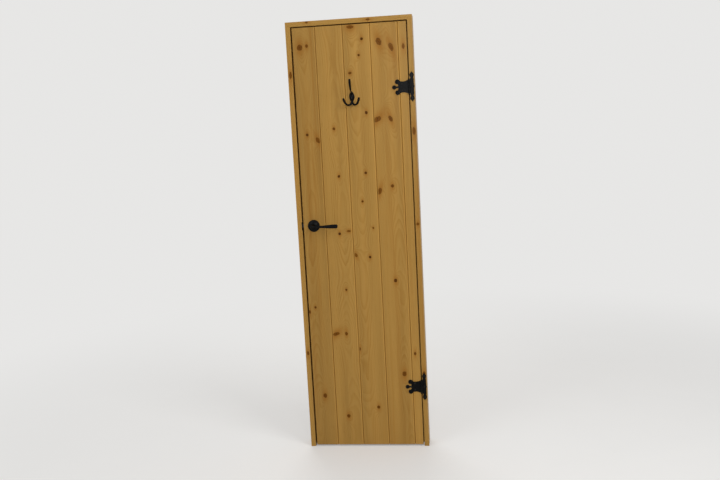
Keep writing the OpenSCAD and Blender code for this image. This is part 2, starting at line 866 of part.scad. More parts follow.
// One casting: a domed almond-shaped plate, a long prong above and a curled one on each side below
module coat_hook() {
    boss_r = hook_plate_w / 2 - 0.5;
    color("dimgray") translate([leaf_middle, front, hook_z]) difference() {
        union() {
            plate_y_front(hook_plate_t) almond(hook_plate_w, hook_plate_h);
            translate([0, boss_r - hook_boss_t, 0]) lemon(boss_r, hook_plate_h / 2 - 0.5);
            upper_prong();
            for (side = [-1, 1]) lower_prong(side);
        }
        box([-hook_plate_w, 0, -hook_plate_h], [hook_plate_w, hook_plate_w, hook_plate_h]);
        for (z = hook_screws)
            translate([0, -hook_boss_t - cut, z]) rod_y(hook_screw_r, hook_boss_t + 2 * cut);
    }
}

// A flat outline in X and Z, thickened towards -Y from Y = 0
module plate_y_front(t) {
    rotate([90, 0, 0]) linear_extrude(height = t) children();
}

hinge_jamb();
latch_jamb();
frame_head();
hinge_stop();
latch_stop();
head_stop();
upper_hinge_frame_plate();
lower_hinge_frame_plate();
upper_hinge_pin();
lower_hinge_pin();
strike_plate();
board(0);  // board_1
board(1);  // board_2
board(2);  // board_3
board(3);  // board_4
board(4);  // board_5
latch_stile();
hinge_stile();
top_rail();
middle_rail();
bottom_rail();
upper_brace();
lower_brace();
upper_hinge_door_plate();
lower_hinge_door_plate();
latch_case();
latch_forend();
front_rose();
back_rose();
coat_hook();
front_lever();
back_lever();
spindle();
latch_bolt();
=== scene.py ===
import math

import bmesh
import bpy
from bpy.props import FloatProperty, FloatVectorProperty, IntProperty, PointerProperty
from mathutils import Matrix, Vector


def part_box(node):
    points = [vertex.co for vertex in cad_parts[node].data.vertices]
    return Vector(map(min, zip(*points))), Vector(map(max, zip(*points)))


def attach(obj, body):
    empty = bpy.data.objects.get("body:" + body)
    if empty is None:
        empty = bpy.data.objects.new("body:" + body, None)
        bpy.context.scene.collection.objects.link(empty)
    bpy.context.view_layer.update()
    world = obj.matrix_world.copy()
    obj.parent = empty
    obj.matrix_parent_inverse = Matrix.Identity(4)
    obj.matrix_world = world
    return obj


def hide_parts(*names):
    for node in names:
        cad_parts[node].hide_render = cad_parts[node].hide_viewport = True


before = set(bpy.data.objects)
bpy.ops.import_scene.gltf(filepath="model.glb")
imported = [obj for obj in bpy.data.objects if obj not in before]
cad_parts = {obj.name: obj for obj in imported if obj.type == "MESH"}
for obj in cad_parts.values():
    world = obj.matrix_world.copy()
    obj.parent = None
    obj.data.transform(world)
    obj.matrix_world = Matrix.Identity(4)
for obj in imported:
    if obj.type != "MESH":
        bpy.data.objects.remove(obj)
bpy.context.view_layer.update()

bl_info = {
    "name": "Plank Door",
    "version": (1, 0, 0),
    "blender": (4, 5, 0),
    "location": "3D View > Sidebar > Plank Door",
    "description": "Dresses a pine plank door and its frame with varnished timber and black ironmongery",
    "category": "Object",
}

MM = 0.001
UP = Vector((0, 0, 1))
FLOAT = "NodeSocketFloat"
VECTOR = "NodeSocketVector"


def middle_of(node):
    low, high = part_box(node)
    return (low + high) / 2


# Places that the pieces are set out from
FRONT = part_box("board_1")[0].y
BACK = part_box("latch_stile")[1].y
MIDDLE_X = -0.262
HANDLE = middle_of("spindle")
ROSE_RADIUS = (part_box("front_rose")[1].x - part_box("front_rose")[0].x) / 2
LEVER_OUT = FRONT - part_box("front_lever")[0].y
LEVER_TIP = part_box("front_lever")[1].x - HANDLE.x
HOOK_MIDDLE = Vector((MIDDLE_X, FRONT, 1.528))
BRACE_WIDTH = 0.070
LATCH_ARRIS = 0.0004
HUB_RADIUS_MM = 8
HINGE_PLATE = 2.5 * MM

# Vertices this close are one, or lie on a cutting plane
WELD = 0.00001
FINE_WELD = 0.000001
ON_PLANE = 0.0000001

# Faces within the first angle are one, and edges over the second are softened
FLAT_ANGLE = math.radians(0.5)
ARRIS_ANGLE = math.radians(35)

# Screw heads: radius and rise
HINGE_HEAD_RISE = 0.0018
LATCH_HEAD = (0.0036, 0.0006)
HOOK_HEAD = (0.0031, 0.0014)
JAMB_HEAD = (0.0046, 0.0004)

# Screws of a hinge: place across and above the pin in mm, and the slot's turn in degrees
LEAF_SCREWS = [(-29.4, 14, 20), (-29.4, -14, -35), (-46.2, 0, 75)]
FRAME_SCREWS = [(12, 47, 55), (12, 0, -20), (12, -47, 10)]

# Screws of the coat hook: how far out of the leaf and above the hook's middle in mm, and the turn
HOOK_SCREWS = [(2.2, 19, 65), (7.1, -5, 15)]

# The latch's screws stand this far above and below the spindle
LATCH_SCREW_REACH = 22.5 * MM

# Fixing screws of the jambs in mm: their heights, their depth in the wall and how far they are sunk
JAMB_SCREW_LEVELS = (162.5, 662.5, 1162.5, 1662.5)
JAMB_SCREW_DEPTH = 32.5
JAMB_SCREW_SUNK = 0.9

# The stage
CAMERA_PLACE = Vector((0.159, -3.375, 1.422))
CAMERA_AIM = Vector((MIDDLE_X, -0.020, 0.922))
CAMERA_LEAN = -3.0
CAMERA_LENS = 39.8
LAMP_AIM = Vector((MIDDLE_X, 0.0, 0.95))
SKY_STRENGTH = 0.38
FLOOR_RADIUS = 14.0
FLOOR_FADE = (0.9, 3.4)
FLOOR_GLOW = 0.20

# Lamps: place, size and power in watts
LAMPS = {
    "window_lamp": ((1.9, -1.9, 2.6), 1.5, 36.0),
    "room_lamp": ((-2.4, -2.3, 2.7), 1.9, 19.0),
    "front_lamp": ((0.4, -3.8, 1.9), 1.5, 26.0),
    "back_lamp": ((-1.0, 3.0, 2.8), 2.4, 46.0),
}

BOARDS = [f"board_{number}" for number in range(1, 6)]
BACKING = [
    "latch_stile", "hinge_stile", "top_rail", "middle_rail", "bottom_rail", "upper_brace", "lower_brace"
]
FRAME_PARTS = ["hinge_jamb", "latch_jamb", "frame_head", "hinge_stop", "latch_stop", "head_stop"]

# What knots leave on a piece: the swell of the rings round them, how near the nearest knot is in
# its own half widths, how dark that one is, its split, and the warm wood round them
KNOT_MARKS = ("Swell", "Reach", "Tone", "Check", "Halo")
NO_KNOT = 9.0

# Knots in each piece: place across and up the door in mm, half width and half length in mm, how
# dark the knot is, and for some its lean. Pieces without a row have clear timber.
KNOTS = {
    "board_1": [
        (-470, 1740, 11, 12, 0.45), (-440, 1745, 6, 7, 0.5), (-460, 1380, 6, 6, 0.8),
        (-415, 1355, 9, 12, 0.35, 0.4), (-470, 635, 5, 5, 0.7), (-495, 615, 4, 8, 0.6),
        (-450, 235, 8, 10, 0.5),
    ],
    "board_2": [
        (-345, 1400, 6, 6, 0.6), (-335, 1200, 6, 6, 0.95), (-345, 955, 6, 6, 1.0),
        (-305, 965, 9, 4, 0.4), (-330, 710, 5, 5, 0.7), (-385, 515, 14, 8, 0.35, -0.3),
        (-340, 515, 6, 8, 0.5), (-350, 140, 8, 8, 0.5),
    ],
    "board_3": [
        (-255, 1810, 14, 7, 0.35), (-210, 1760, 6, 6, 0.95), (-225, 1695, 5, 5, 0.75),
        (-265, 1625, 7, 5, 0.5), (-205, 1460, 6, 7, 0.85), (-220, 1210, 6, 6, 0.85),
        (-240, 1090, 5, 5, 0.7), (-200, 975, 4, 4, 0.6), (-280, 860, 7, 9, 0.3, 0.3),
        (-220, 850, 6, 6, 0.95), (-285, 445, 5, 8, 0.5), (-215, 180, 7, 7, 0.6),
    ],
    "board_4": [
        (-140, 1745, 11, 15, 0.4, 0.3), (-90, 1720, 9, 17, 0.3, 0.5), (-160, 1430, 15, 12, 0.3, -0.5),
        (-105, 1430, 8, 12, 0.5, 0.4), (-165, 1130, 9, 14, 0.35, -0.4), (-110, 1150, 7, 7, 0.6),
        (-115, 745, 7, 8, 0.85), (-95, 330, 9, 11, 0.5),
    ],
    "board_5": [(-40, 1720, 6, 11, 0.35), (-45, 420, 5, 7, 0.6)],
    "latch_jamb": [(-515, 1630, 6, 15, 0.4), (-515, 430, 5, 9, 0.5)],
    "hinge_jamb": [(-10, 1375, 7, 16, 0.4), (-10, 985, 6, 6, 0.5), (-10, 330, 6, 10, 0.5)],
    "frame_head": [(-435, 1840, 4, 6, 0.5), (-180, 1835, 5, 8, 0.4)],
    "latch_stile": [(-470, 1490, 10, 13, 0.4), (-455, 560, 7, 8, 0.7)],
    "hinge_stile": [(-60, 1210, 9, 14, 0.4), (-45, 350, 6, 7, 0.6)],
    "top_rail": [(-210, 1775, 11, 14, 0.4)],
    "middle_rail": [(-330, 850, 10, 15, 0.45), (-165, 880, 6, 7, 0.7)],
    "bottom_rail": [(-150, 70, 13, 16, 0.4), (-370, 95, 5, 6, 0.8)],
    "upper_brace": [(-240, 1300, 9, 13, 0.4)],
    "lower_brace": [(-300, 500, 8, 11, 0.5)],
}

# Where each piece was cut from its log: the pith's place across and behind the piece's middle in
# mm, its lean in mm a metre, how light the piece is, and how red
LOGS = {
    "board_1": ((-18, 74), (16, 9), 0.91, 0.85),
    "board_2": ((12, 96), (-9, 12), 1.0, 0.3),
    "board_3": ((-26, 82), (8, -14), 1.0, 0.35),
    "board_4": ((22, 70), (-13, 11), 1.0, 0.6),
    "board_5": ((60, 64), (7, 6), 1.05, 0.45),
    "latch_jamb": ((35, 60), (6, 5), 1.04, 0.4),
    "hinge_jamb": ((-38, 72), (-8, 5), 0.98, 0.9),
    "frame_head": ((28, 55), (5, -6), 1.03, 0.4),
    "latch_stop": ((30, -45), (5, 4), 1.0, 0.4),
    "hinge_stop": ((-25, -52), (-6, 5), 1.02, 0.4),
    "head_stop": ((22, -48), (4, 6), 1.0, 0.45),
    "latch_stile": ((16, -62), (9, -8), 1.02, 0.35),
    "hinge_stile": ((-20, -70), (-8, 10), 0.98, 0.45),
    "top_rail": ((12, -58), (10, 7), 1.03, 0.3),
    "middle_rail": ((-18, -66), (-7, 9), 0.99, 0.4),
    "bottom_rail": ((10, -75), (8, -9), 0.97, 0.5),
    "upper_brace": ((-14, -60), (7, 8), 1.04, 0.3),
    "lower_brace": ((18, -68), (-9, 7), 0.98, 0.45),
}


class PlankDoorSettings(bpy.types.PropertyGroup):
    """Sizes and finishes of the door's timber and ironmongery."""

    pale_wood: FloatVectorProperty(
        name="Pale wood", description="Varnished earlywood between the dark rings",
        subtype="COLOR", min=0, max=1, default=(0.408, 0.228, 0.055))
    ring_wood: FloatVectorProperty(
        name="Ring wood", description="Varnished latewood in the dark rings",
        subtype="COLOR", min=0, max=1, default=(0.265, 0.112, 0.012))
    red_wood: FloatVectorProperty(
        name="Red wood", description="Resinous streaks and the wood around knots",
        subtype="COLOR", min=0, max=1, default=(0.310, 0.122, 0.014))
    knot_wood: FloatVectorProperty(
        name="Knot", description="Red-brown inside of a sound knot",
        subtype="COLOR", min=0, max=1, default=(0.240, 0.082, 0.002))
    knot_rim: FloatVectorProperty(
        name="Knot rim", description="Bark and resin round a knot, and the whole of a dead one",
        subtype="COLOR", min=0, max=1, default=(0.055, 0.015, 0.000))
    ring_width: FloatProperty(
        name="Ring width", description="Distance between growth rings",
        subtype="DISTANCE", unit="LENGTH", min=0.0008, max=0.01, default=0.0026)
    arris: FloatProperty(
        name="Arris", description="Width of the softened edges of the timber",
        subtype="DISTANCE", unit="LENGTH", min=0.0001, max=0.002, default=0.0007)
    iron: FloatVectorProperty(
        name="Black iron", description="Black finish of the hinges, handles and coat hook",
        subtype="COLOR", min=0, max=1, default=(0.0030, 0.0029, 0.0029))
    # Paler iron on the rubbed edges and scuffed screw heads: partly worn iron, partly a painted highlight and
    # painted glints
    worn_iron_and_highlight: FloatVectorProperty(
        name="Worn iron", description="Bare iron where the black finish is rubbed off",
        subtype="COLOR", min=0, max=1, default=(0.085, 0.074, 0.064))
    iron_arris: FloatProperty(
        name="Iron arris", description="Width of the softened edges of the iron plates",
        subtype="DISTANCE", unit="LENGTH", min=0.0001, max=0.0012, default=0.0006)
    # Latch steel kept darker than plated steel: its colour is partly a painted shade for the bolt in the gap
    steel: FloatVectorProperty(
        name="Latch steel", description="Plated steel of the latch",
        subtype="COLOR", min=0, max=1, default=(0.150, 0.140, 0.128))
    screw_radius: FloatProperty(
        name="Screw head radius", description="Radius of the round-headed screws",
        subtype="DISTANCE", unit="LENGTH", min=0.002, max=0.005, default=0.0036)
    # Share of the screw heads painted paler: partly scuffed paint, partly painted glints
    head_scuff_and_glint: FloatProperty(
        name="Worn heads", description="Share of the paint that is scuffed off the screw heads",
        subtype="FACTOR", min=0, max=1, default=0.50)
    casting_voxel: FloatProperty(
        name="Casting detail", description="Size of the voxels that round the castings' joints",
        subtype="DISTANCE", unit="LENGTH", min=0.0003, max=0.002, default=0.00055)
    bar_sides: IntProperty(
        name="Bar sides", description="Sides of the swept bars", min=12, max=48, default=24)
    floor: FloatVectorProperty(
        name="Floor", description="Colour of the floor",
        subtype="COLOR", min=0, max=1, default=(0.72, 0.71, 0.69))
    backdrop: FloatVectorProperty(
        name="Backdrop", description="Colour that the camera sees behind the door",
        subtype="COLOR", min=0, max=1, default=(0.80, 0.795, 0.785))


def settings():
    return bpy.context.scene.plank_door


# Node helpers

def feed(tree, socket, value):
    """Joins a socket to another one, or sets its value."""
    if isinstance(value, bpy.types.NodeSocket):
        tree.links.new(value, socket)
    else:
        socket.default_value = value


def feed_all(tree, node, values):
    """Feeds a node's sockets by their names."""
    for label, value in values.items():
        feed(tree, node.inputs[label], value)


def calc(tree, operation, *values, clamp=False):
    node = tree.nodes.new("ShaderNodeMath")
    node.operation = operation
    node.use_clamp = clamp
    for socket, value in zip(node.inputs, values):
        feed(tree, socket, value)
    return node.outputs[0]


def chain(tree, operation, first, *others):
    """Works one operation through all the values, from the first one on."""
    for value in others:
        first = calc(tree, operation, first, value)
    return first


def vector_calc(tree, operation, *values, output="Vector"):
    node = tree.nodes.new("ShaderNodeVectorMath")
    node.operation = operation
    for socket, value in zip(node.inputs, values):
        feed(tree, socket, value)
    return node.outputs[output]


def split(tree, vector):
    node = tree.nodes.new("ShaderNodeSeparateXYZ")
    feed(tree, node.inputs[0], vector)
    return node.outputs


def combine(tree, x, y, z):
    node = tree.nodes.new("ShaderNodeCombineXYZ")
    for socket, value in zip(node.inputs, (x, y, z)):
        feed(tree, socket, value)
    return node.outputs[0]


def plane_distance(tree, x, y):
    squares = [calc(tree, "POWER", value, 2.0) for value in (x, y)]
    return calc(tree, "SQRT", calc(tree, "ADD", *squares))


def noise(tree, place, stretch, detail=2.0, roughness=0.5, colour=False):
    """Cloudy noise with its own frequency along each axis."""
    node = tree.nodes.new("ShaderNodeTexNoise")
    feed_all(tree, node, {"Vector": vector_calc(tree, "MULTIPLY", place, stretch), "Scale": 1.0,
                          "Detail": detail, "Roughness": roughness})
    return node.outputs["Color" if colour else "Fac"]


def waver(tree, place, stretch, width, detail=2.0, roughness=0.5):
    """Noise that wanders to both sides of zero, over the width in all."""
    return calc(tree, "MULTIPLY_ADD", noise(tree, place, stretch, detail, roughness), width, -width / 2)


def ease(tree, value, low, high):
    """0 below low, 1 above high, and a smooth rise between them."""
    node = tree.nodes.new("ShaderNodeMapRange")
    node.interpolation_type = "SMOOTHSTEP"
    feed_all(tree, node, {"Value": value, "From Min": low, "From Max": high})
    return node.outputs["Result"]


def fade(tree, value, low, high):
    """1 below low, 0 above high, and a smooth fall between them."""
    return calc(tree, "SUBTRACT", 1.0, ease(tree, value, low, high))


def blend_colour(tree, amount, first, second, mode="MIX"):
    node = tree.nodes.new("ShaderNodeMix")
    node.data_type = "RGBA"
    node.blend_type = mode
    feed(tree, node.inputs["Factor"], amount)
    feed(tree, node.inputs[6], first)
    feed(tree, node.inputs[7], second)
    return node.outputs[2]


def shaded(tree, colour, shade):
    """A colour made lighter or darker by a plain number."""
    return blend_colour(tree, 1.0, colour, combine(tree, shade, shade, shade), "MULTIPLY")


def new_group(name, given, made):
    tree = bpy.data.node_groups.new(name, "ShaderNodeTree")
    for label, kind in given:
        tree.interface.new_socket(name=label, in_out="INPUT", socket_type=kind)
    for label, kind in made:
        tree.interface.new_socket(name=label, in_out="OUTPUT", socket_type=kind)
    return tree, tree.nodes.new("NodeGroupInput").outputs, tree.nodes.new("NodeGroupOutput").inputs


def use_group(tree, group, **values):
    node = tree.nodes.new("ShaderNodeGroup")
    node.node_tree = group
    feed_all(tree, node, values)
    return node.outputs


def rgba(colour, light=1.0):
    return (colour[0] * light, colour[1] * light, colour[2] * light, 1.0)


def new_material(name):
    material = bpy.data.materials.new(name)
    material.use_nodes = True
    tree = material.node_tree
    shader = tree.nodes["Principled BSDF"]
    place = tree.nodes.new("ShaderNodeTexCoord").outputs["Object"]
    return material, tree, shader, place


def bump(tree, shader, height, distance, strength=1.0):
    node = tree.nodes.new("ShaderNodeBump")
    feed_all(tree, node, {"Strength": strength, "Distance": distance, "Height": height})
    feed(tree, shader.inputs["Normal"], node.outputs[0])


def mix_shaders(tree, amount, first, second, output):
    """Gives an output one shader that turns to another by an amount."""
    mix = tree.nodes.new("ShaderNodeMixShader")
    feed(tree, mix.inputs[0], amount)
    tree.links.new(first.outputs[0], mix.inputs[1])
    tree.links.new(second.outputs[0], mix.inputs[2])
    tree.links.new(mix.outputs[0], output.inputs["Surface"])


# Pine

def knot_group():
    """One knot: adds what it leaves on the piece to what the knots before it left."""
    if "pine_knot" in bpy.data.node_groups:
        return bpy.data.node_groups["pine_knot"]
    marks = [(label, FLOAT) for label in KNOT_MARKS]
    sizes = [(label, FLOAT) for label in ("Width", "Length", "Dark", "Lean")]
    tree, given, made = new_group(
        "pine_knot", [("Position", VECTOR), ("Middle", VECTOR), *sizes, *marks], marks)
    place, width = given["Position"], given["Width"]
    away = split(tree, vector_calc(tree, "SUBTRACT", place, given["Middle"]))
    along = calc(tree, "DIVIDE", away["Z"], given["Length"])
    across = calc(tree, "MULTIPLY_ADD", along, given["Lean"], calc(tree, "DIVIDE", away["X"], width))
    far = plane_distance(tree, across, along)
    reach = calc(tree, "ADD", far, waver(tree, place, (190, 190, 130), 0.7, 4.0, 0.6))
    nearer = calc(tree, "LESS_THAN", reach, given["Reach"])
    darker = calc(tree, "SUBTRACT", given["Dark"], given["Tone"])
    feed(tree, made["Reach"], calc(tree, "MINIMUM", given["Reach"], reach))
    feed(tree, made["Tone"], calc(tree, "MULTIPLY_ADD", nearer, darker, given["Tone"]))

    # The rings bend round a hill that is wider and longer than the knot
    wide = calc(tree, "POWER", calc(tree, "DIVIDE", across, 2.3), 2.0)
    tall = calc(tree, "POWER", calc(tree, "DIVIDE", along, 4.6), 2.0)
    hill = calc(tree, "EXPONENT", calc(tree, "MULTIPLY", calc(tree, "ADD", wide, tall), -1.0))
    rise = chain(tree, "MULTIPLY", width, 1.3, hill)
    feed(tree, made["Swell"], calc(tree, "ADD", given["Swell"], rise))
    feed(tree, made["Halo"], calc(tree, "MAXIMUM", given["Halo"], calc(tree, "POWER", hill, 2.4)))

    # A large knot has split along a wavy line across its middle
    slanted = calc(tree, "MULTIPLY_ADD", along, 0.45, across)
    off_line = calc(tree, "ABSOLUTE", calc(tree, "ADD", slanted, waver(tree, place, (240, 240, 240), 0.6)))
    line, short = fade(tree, off_line, 0.015, 0.10), fade(tree, far, 0.45, 0.85)
    split_open = chain(tree, "MULTIPLY", line, short, ease(tree, width, 0.0065, 0.0085))
    feed(tree, made["Check"], calc(tree, "MAXIMUM", given["Check"], split_open))
    return tree


def figure_group():
    """Growth rings round a wandering pith, with their streaks, fibres and resin canals."""
    if "pine_figure" in bpy.data.node_groups:
        return bpy.data.node_groups["pine_figure"]
    places = [(label, VECTOR) for label in ("Position", "Pith", "Lean", "Seed")]
    tree, given, made = new_group(
        "pine_figure", [*places, ("Swell", FLOAT), ("Ring", FLOAT)],
        [(label, FLOAT) for label in ("Latewood", "Streak", "Fibre", "Cloud", "Canal")])
    place = given["Position"]
    here = vector_calc(tree, "ADD", place, given["Seed"])
    along = split(tree, place)["Z"]
    lean = vector_calc(tree, "MULTIPLY", given["Lean"], combine(tree, along, along, along))
    drift = vector_calc(tree, "SUBTRACT", noise(tree, here, (2.2, 2.2, 1.7), colour=True), (0.5, 0.5, 0.5))
    drift = vector_calc(tree, "MULTIPLY", drift, (0.05, 0.05, 0.0))
    pith = vector_calc(tree, "ADD", vector_calc(tree, "ADD", given["Pith"], lean), drift)
    from_pith = split(tree, vector_calc(tree, "SUBTRACT", place, pith))
    radius = plane_distance(tree, from_pith["X"], from_pith["Y"])
    ripple = waver(tree, here, (38, 38, 4.5), 0.0035)
    grown = calc(tree, "SUBTRACT", calc(tree, "ADD", radius, ripple), given["Swell"])
    ring = calc(tree, "DIVIDE", grown, given["Ring"])
    uneven = noise(tree, combine(tree, calc(tree, "MULTIPLY", ring, 0.31), 0.0, 0.0), (1, 1, 1), 1.0)
    ring = calc(tree, "MULTIPLY_ADD", uneven, 2.4, ring)
    part = calc(tree, "FRACT", ring)
    band = calc(tree, "MULTIPLY", ease(tree, part, 0.25, 0.86), fade(tree, part, 0.90, 1.0))
    dice = tree.nodes.new("ShaderNodeTexWhiteNoise")
    dice.noise_dimensions = "1D"
    feed(tree, dice.inputs["W"], calc(tree, "FLOOR", ring))
    strong = calc(tree, "MULTIPLY_ADD", dice.outputs["Value"], 0.65, 0.35)
    patchy = calc(tree, "MULTIPLY_ADD", noise(tree, here, (18, 18, 5)), 1.1, 0.30)
    feed(tree, made["Latewood"], chain(tree, "MULTIPLY", strong, patchy, band))
    feed(tree, made["Canal"], ease(tree, noise(tree, here, (620, 620, 34), 1.0), 0.70, 0.78))
    feed(tree, made["Streak"], noise(tree, here, (34, 34, 0.8), 3.0, 0.6))
    feed(tree, made["Fibre"], noise(tree, here, (950, 950, 16), 2.0, 0.6))
    feed(tree, made["Cloud"], noise(tree, here, (26, 26, 0.7), 3.0))
    return tree


def timber_turn(node):
    """A piece's turn away from upright. A brace's comes from its box and its width."""
    if "rail" in node or "head" in node:
        return math.pi / 2
    if "brace" not in node:
        return 0.0
    low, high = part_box(node)
    wide, tall = high.x - low.x, high.z - low.z
    angle = math.atan2(wide, tall)
    for _ in range(20):
        angle = math.atan2(wide - BRACE_WIDTH * math.cos(angle), tall)
    return -angle


def lay_knots(tree, node, board, middle, turn):
    """Chains a group for each of the piece's knots, and gives what they leave on it."""
    unturn = Matrix.Rotation(-turn, 3, "Y")
    marks = dict(zip(KNOT_MARKS, (0.0, NO_KNOT, 0.0, 0.0, 0.0)))
    for x, z, width, length, dark, *slant in KNOTS.get(node, ()):
        at = unturn @ (Vector((x * MM, middle.y, z * MM)) - middle)
        knot = use_group(tree, knot_group(), Position=board, Middle=(at.x, 0.0, at.z), Width=width * MM,
                         Length=length * MM, Dark=dark, Lean=slant[0] if slant else 0.0, **marks)
        marks = {label: knot[label] for label in KNOT_MARKS}
    return marks


def paint_knots(tree, marks, colour, height, tone):
    """Warm wood round the knots, and their bodies with rings, bark, heart and splits."""
    look = settings()
    swell, reach, dark, check, halo = (marks[label] for label in KNOT_MARKS)
    swirl = calc(tree, "MULTIPLY", ease(tree, swell, 0.002, 0.016), 0.18)
    warm = calc(tree, "MULTIPLY_ADD", halo, 0.70, swirl)
    colour = blend_colour(tree, warm, colour, rgba(look.red_wood, tone))
    body = fade(tree, reach, 0.78, 1.16)
    rings = calc(tree, "MULTIPLY_ADD", calc(tree, "SINE", calc(tree, "MULTIPLY", reach, 17.0)), 0.14, 0.14)
    heart = calc(tree, "MULTIPLY", fade(tree, reach, 0.0, 0.42), 0.40)
    bark = calc(tree, "MULTIPLY", ease(tree, reach, 0.66, 0.96), calc(tree, "MULTIPLY_ADD", dark, 0.45, 0.62))
    black = chain(tree, "MAXIMUM", bark, heart, calc(tree, "MULTIPLY", dark, 0.80), check)
    black = calc(tree, "ADD", black, rings, clamp=True)
    body_colour = blend_colour(tree, black, rgba(look.knot_wood), rgba(look.knot_rim))
    colour = blend_colour(tree, body, colour, body_colour)
    height = calc(tree, "MULTIPLY_ADD", body, -0.5, height)
    return colour, calc(tree, "MULTIPLY_ADD", check, -1.5, height)


def paint_joint_highlight_and_shade(tree, place, joint, colour, tone):
    """Pale arrises beside a joint between two boards, a painted highlight that is partly rubbed wear, and
    darker brown deep in the joint, partly dirt and partly painted shade.
    """
    look = settings()
    at = split(tree, place)
    off = calc(tree, "ABSOLUTE", calc(tree, "SUBTRACT", at["X"], joint))
    # Painted highlight: a pale band on the chamfers beside the joint, partly rubbed wear
    band = calc(tree, "SUBTRACT", ease(tree, off, 0.0014, 0.0026), ease(tree, off, 0.0034, 0.0054))
    shallow = fade(tree, at["Y"], FRONT + 0.0006, FRONT + 0.0022)
    wear_and_painted_highlight = chain(tree, "MULTIPLY", band, shallow, 0.60)
    colour = blend_colour(tree, wear_and_painted_highlight, colour, rgba(look.pale_wood, 1.40 * tone))
    # Painted shade: darker brown deep in the groove, partly dirt and partly the shade that falls there
    near = fade(tree, off, 0.0026, 0.0042)
    deep = ease(tree, at["Y"], FRONT + 0.0012, FRONT + 0.0032)
    dirt_and_painted_shade = chain(tree, "MULTIPLY", near, deep, 0.45)
    return blend_colour(tree, dirt_and_painted_shade, colour, rgba(look.knot_wood, 0.8))


def pine(node, number, light, joints=()):
    """Varnished pine for one piece, set out from its own log, with its own knots."""
    look = settings()
    (pith_x, pith_y), (lean_x, lean_y), tone, red = LOGS[node]
    tone = tone * light
    middle, turn = middle_of(node), timber_turn(node)
    material, tree, shader, place = new_material("pine_" + node)
    mapping = tree.nodes.new("ShaderNodeMapping")
    mapping.vector_type = "TEXTURE"
    feed_all(tree, mapping, {"Location": middle, "Rotation": (0.0, turn, 0.0), "Vector": place})
    board = mapping.outputs[0]
    marks = lay_knots(tree, node, board, middle, turn)
    seed = (number * 1.37, number * 0.71, number * 2.93)
    figure = use_group(
        tree, figure_group(), Position=board, Pith=(pith_x * MM, pith_y * MM, 0.0),
        Lean=(lean_x * MM, lean_y * MM, 0.0), Seed=seed, Swell=marks["Swell"], Ring=look.ring_width)
    late, fibre = figure["Latewood"], figure["Fibre"]

    rings = calc(tree, "MULTIPLY", late, 0.45)
    colour = blend_colour(tree, rings, rgba(look.pale_wood, tone), rgba(look.ring_wood, tone))
    canals = calc(tree, "MULTIPLY", figure["Canal"], 0.45)
    colour = blend_colour(tree, canals, colour, rgba(look.ring_wood, 0.75 * tone))
    streaks = calc(tree, "MULTIPLY", ease(tree, figure["Streak"], 0.46, 0.80), 0.60 * red)
    colour = blend_colour(tree, streaks, colour, rgba(look.red_wood, tone))
    shade = calc(tree, "MULTIPLY_ADD", fibre, 0.22, 0.89)
    shade = calc(tree, "MULTIPLY", shade, calc(tree, "MULTIPLY_ADD", figure["Cloud"], 0.54, 0.73))
    colour = shaded(tree, colour, shade)
    height = calc(tree, "MULTIPLY_ADD", fibre, 0.35, calc(tree, "MULTIPLY", late, 0.5))
    rough = calc(tree, "MULTIPLY_ADD", fibre, 0.10, calc(tree, "MULTIPLY_ADD", late, -0.05, 0.36))
    if node in KNOTS:
        colour, height = paint_knots(tree, marks, colour, height, tone)
    for joint in joints:
        colour = paint_joint_highlight_and_shade(tree, place, joint, colour, tone)
    feed_all(tree, shader, {
        "Base Color": colour, "Roughness": rough, "Specular IOR Level": 0.12,
        "Specular Tint": (1.0, 0.82, 0.55, 1.0), "Coat Weight": 0.08, "Coat Roughness": 0.20})
    bump(tree, shader, height, 0.00022, 0.55)
    return material


# Metal

def black_iron(scuff_and_glint_share=0.0):
    """Iron under a satin black finish, paler along its edges as rubbed wear that is partly a painted
    highlight, and on screw heads scuffed by a share whose paler iron is partly a painted glint.
    """
    name = "scuffed_glinting_iron" if scuff_and_glint_share else "painted_iron"
    if name in bpy.data.materials:
        return bpy.data.materials[name]
    look = settings()
    material, tree, shader, place = new_material(name)
    grit = noise(tree, place, (900, 900, 900), 3.0, 0.6)
    dent = noise(tree, place, (160, 160, 160))
    patch = noise(tree, place, (45, 45, 45))
    round_edge = tree.nodes.new("ShaderNodeBevel")
    round_edge.samples = 4
    round_edge.inputs["Radius"].default_value = 0.0007
    true_normal = tree.nodes.new("ShaderNodeNewGeometry").outputs["Normal"]
    facing = vector_calc(tree, "DOT_PRODUCT", round_edge.outputs[0], true_normal, output="Value")
    # Paler iron along the edges: partly rubbed wear, partly a painted edge highlight
    wear_and_painted_highlight = calc(tree, "MULTIPLY", fade(tree, facing, 0.955, 0.9995), ease(tree, patch, 0.42, 0.62))
    if scuff_and_glint_share:
        # Scuffed paint on the screw heads, whose paler iron is partly a painted glint
        scuff_and_glint_mask = noise(tree, place, (420, 420, 420), 3.0, 0.6)
        wear_and_painted_highlight = calc(tree, "MAXIMUM", wear_and_painted_highlight, calc(tree, "MULTIPLY", ease(tree, scuff_and_glint_mask, 0.38, 0.60), scuff_and_glint_share))
    colour = blend_colour(tree, calc(tree, "MULTIPLY", wear_and_painted_highlight, 0.7), rgba(look.iron), rgba(look.worn_iron_and_highlight))
    rough = calc(tree, "MULTIPLY_ADD", grit, 0.14, calc(tree, "MULTIPLY_ADD", patch, 0.14, 0.16))
    feed_all(tree, shader, {"Base Color": colour, "Roughness": rough, "Specular IOR Level": 0.05,
                            "Coat Weight": 0.05, "Coat Roughness": 0.06})
    bump(tree, shader, calc(tree, "MULTIPLY_ADD", dent, 2.4, calc(tree, "MULTIPLY", grit, 0.35)), 0.0010)
    return material


